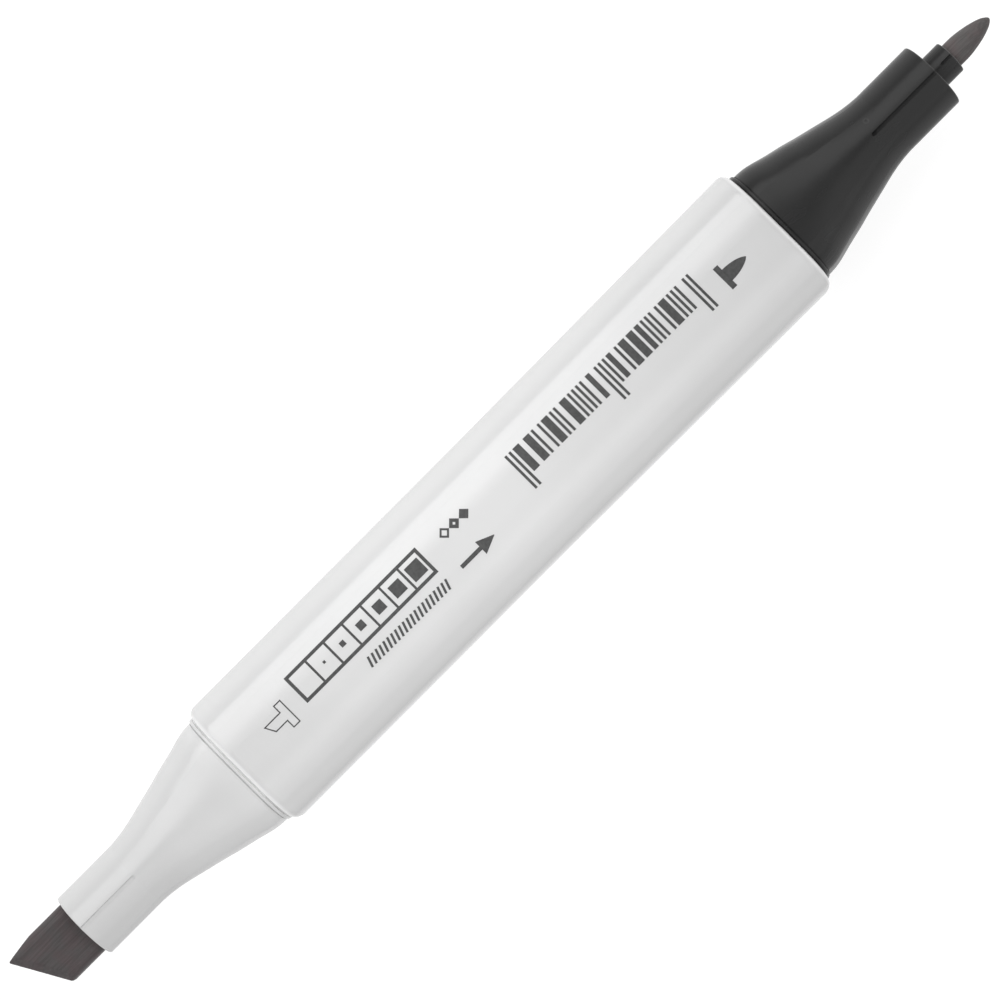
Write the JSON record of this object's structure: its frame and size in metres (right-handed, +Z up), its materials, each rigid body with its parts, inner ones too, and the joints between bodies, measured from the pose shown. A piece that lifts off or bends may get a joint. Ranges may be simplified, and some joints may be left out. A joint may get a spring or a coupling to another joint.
{
  "type": "felt tip marker",
  "caption": "Uncapped twin-tip felt marker: rounded-square barrel, coned front sections, slanted chisel nib and bullet nib that pull out.",
  "frame": {"origin": "middle of the barrel's flat underside, on the surface the marker lies on", "axes": "+X along the marker towards the fine bullet tip, +Z up out of the printed face"},
  "size_m": [0.1313, 0.015, 0.0149],
  "materials": {
    "barrel_plastic": "satin moulded white plastic",
    "light_grey_plastic": "satin moulded light grey plastic",
    "black_plastic": "smooth black moulded plastic",
    "sleeve_plastic": "smooth black moulded plastic",
    "broad_felt": "dense inked fibre, streaked along its length",
    "fine_felt": "dense inked fibre, streaked along its length",
    "reservoir_fibre": "ink-soaked polyester fibre bundle",
    "print_ink": "dark grey screen-printed ink",
    "clear_film": "thin clear film"
  },
  "bodies": {
    "holder": {"barrel": "barrel_plastic", "broad_front_section": "light_grey_plastic", "fine_front_section": "black_plastic", "fine_nib_sleeve": "sleeve_plastic", "ink_reservoir": "reservoir_fibre", "reservoir_film": "clear_film"},
    "broad_nib": {"broad_nib": "broad_felt"},
    "fine_nib": {"fine_nib": "fine_felt"}
  },
  "joints": [
    {"name": "broad_nib_pull", "type": "slide", "parent": "holder", "child": "broad_nib", "axis": [-1, 0, 0], "range_m": [0, 0.031]},
    {"name": "fine_nib_pull", "type": "slide", "parent": "holder", "child": "fine_nib", "axis": [1, 0, 0], "range_m": [0, 0.034]}
  ]
}
